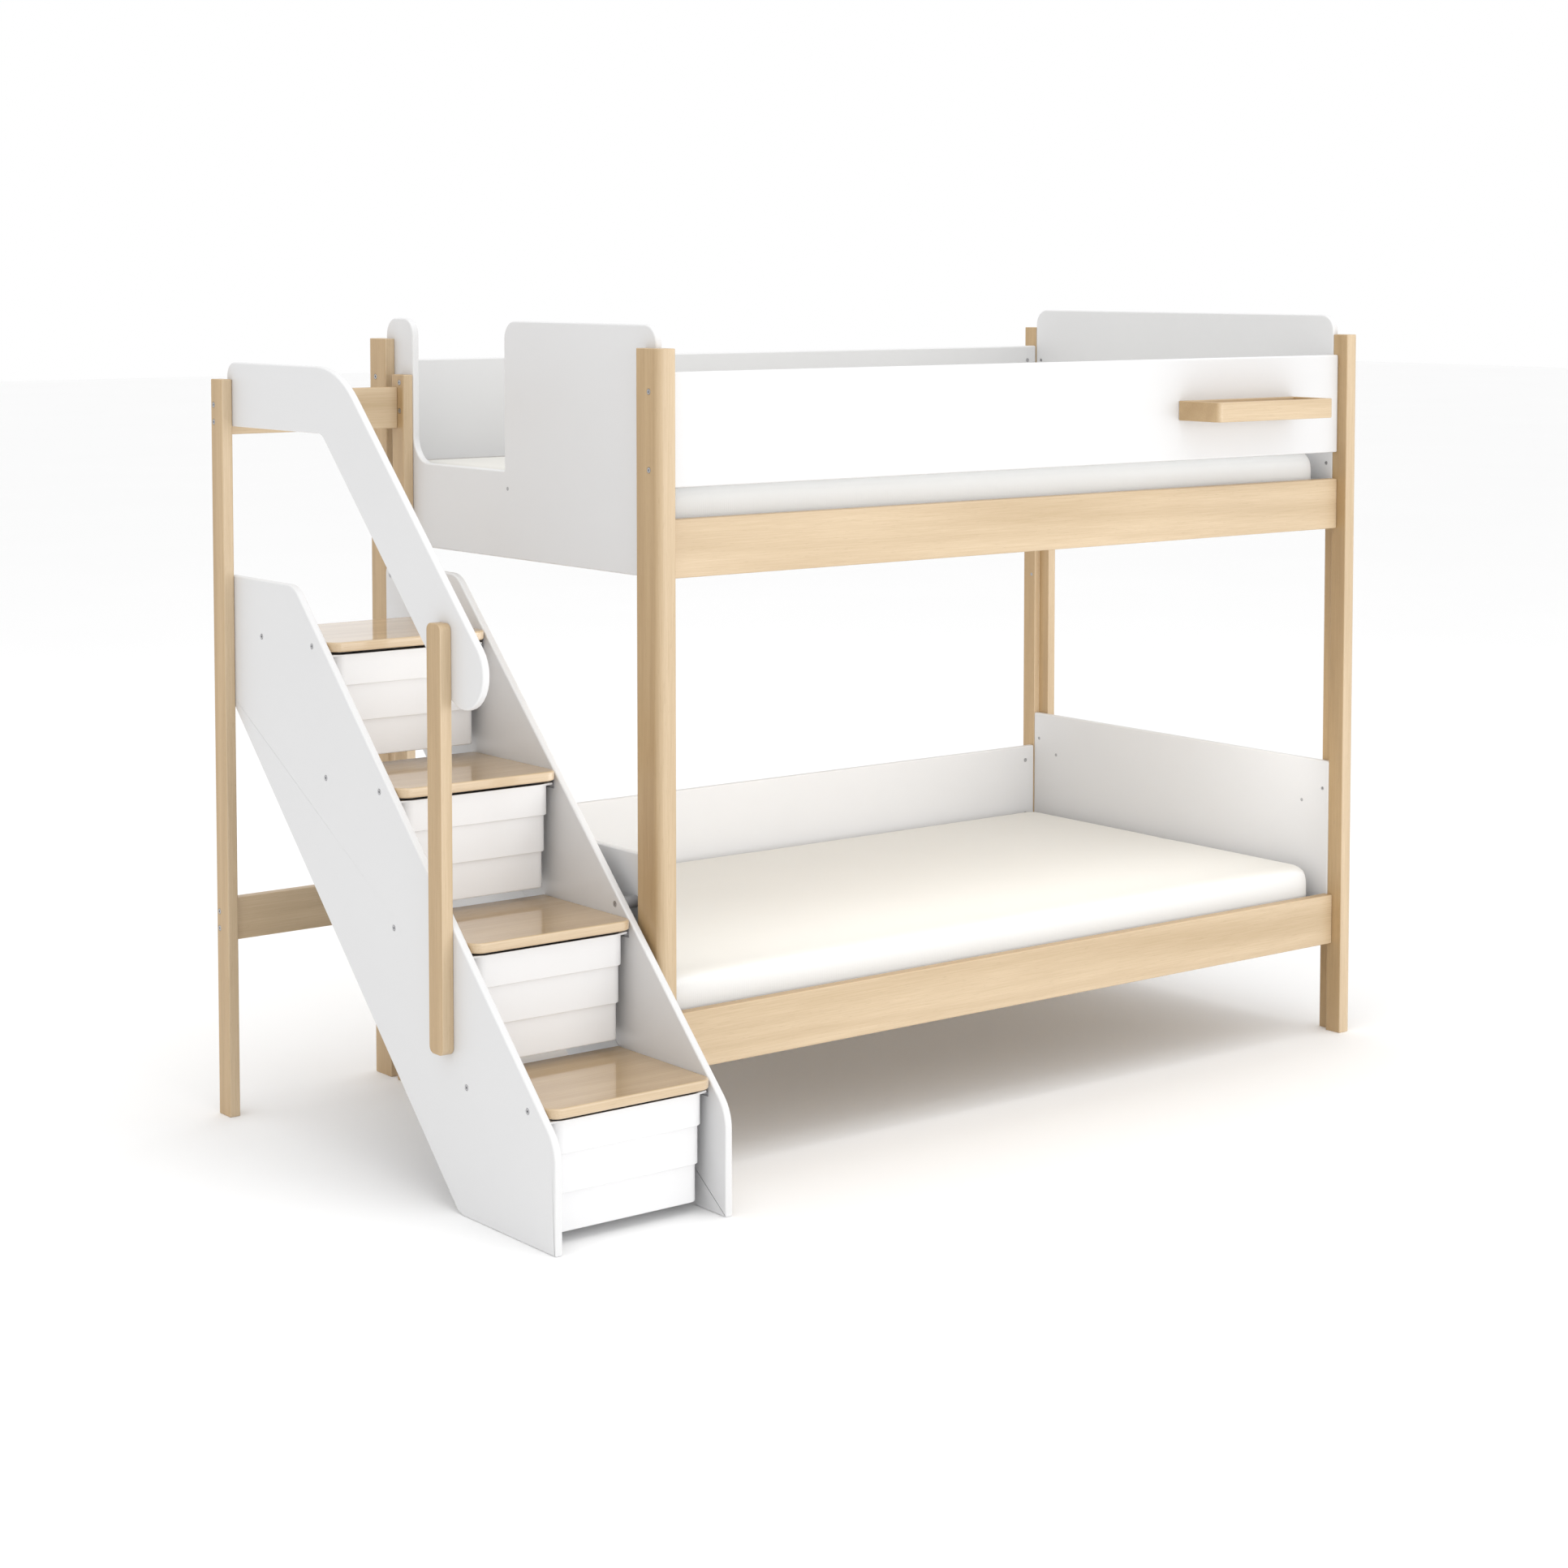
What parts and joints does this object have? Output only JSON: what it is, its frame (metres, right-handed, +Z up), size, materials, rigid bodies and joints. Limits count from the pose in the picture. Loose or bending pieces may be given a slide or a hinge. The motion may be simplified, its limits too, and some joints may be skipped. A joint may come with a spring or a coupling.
{
  "type": "bunk bed",
  "caption": "Bunk bed with timber posts and rails, white panels, two mattresses, a bedside tray and a side staircase whose steps hold pull-out storage tubs.",
  "frame": {"origin": "on the floor at the centre of the footprint of the bed and its stair", "axes": "+X along the bed away from the stair, +Y from the open front to the back, +Z up"},
  "size_m": [2.445, 1.357, 1.69],
  "materials": {
    "timber": "pale clear-lacquered pine or rubberwood, satin",
    "white_panel": "white satin lacquer on board",
    "tub_plastic": "white moulded plastic, satin",
    "mattress_cloth": "off-white knitted ticking",
    "zinc_steel": "zinc plated",
    "grey_plastic": "moulded, matt"
  },
  "bodies": {
    "root": {"post_front_left": "timber", "post_front_right": "timber", "post_rear_left": "timber", "post_rear_right": "timber", "upper_front_rail": "timber", "upper_rear_rail": "timber", "lower_front_rail": "timber", "lower_rear_rail": "timber", "front_guard_panel": "white_panel", "rear_guard_panel": "white_panel", "lower_rear_panel": "white_panel", "headboard": "white_panel", "footboard": "white_panel", "lower_end_panel_left": "white_panel", "lower_end_panel_right": "white_panel", "upper_ledgers": "timber", "lower_ledgers": "timber", "upper_slats": "timber", "lower_slats": "timber", "upper_mattress": "mattress_cloth", "lower_mattress": "mattress_cloth", "tray_frame": "timber", "tray_base": "timber", "stair_side_left": "white_panel", "stair_side_right": "white_panel", "stair_post_left": "timber", "stair_post_right": "timber", "cross_rail_top": "timber", "cross_rail_low": "timber", "handrail_panel": "white_panel", "baluster": "timber", "tread_1": "timber", "tread_2": "timber", "tread_3": "timber", "tread_4": "timber", "tub_runners_1": "grey_plastic", "tub_runners_2": "grey_plastic", "tub_runners_3": "grey_plastic", "tub_runners_4": "grey_plastic", "guard_bolts": "zinc_steel", "guard_nuts": "zinc_steel", "panel_screws": "zinc_steel", "rail_brackets": "zinc_steel", "bracket_screws": "zinc_steel", "tread_bolts": "zinc_steel", "stair_frame_bolts": "zinc_steel", "stair_side_bolts": "zinc_steel", "stair_spacers": "grey_plastic", "handrail_screws": "zinc_steel", "tray_screws": "zinc_steel", "hole_caps": "grey_plastic"},
    "tub_1": {"tub_1": "tub_plastic"},
    "tub_2": {"tub_2": "tub_plastic"},
    "tub_3": {"tub_3": "tub_plastic"},
    "tub_4": {"tub_4": "tub_plastic"}
  },
  "joints": [
    {"name": "tub_1_slide", "type": "slide", "parent": "root", "child": "tub_1", "axis": [0, -1, 0], "range_m": [0, 0.2]},
    {"name": "tub_2_slide", "type": "slide", "parent": "root", "child": "tub_2", "axis": [0, -1, 0], "range_m": [0, 0.2]},
    {"name": "tub_3_slide", "type": "slide", "parent": "root", "child": "tub_3", "axis": [0, -1, 0], "range_m": [0, 0.2]},
    {"name": "tub_4_slide", "type": "slide", "parent": "root", "child": "tub_4", "axis": [0, -1, 0], "range_m": [0, 0.2]}
  ]
}
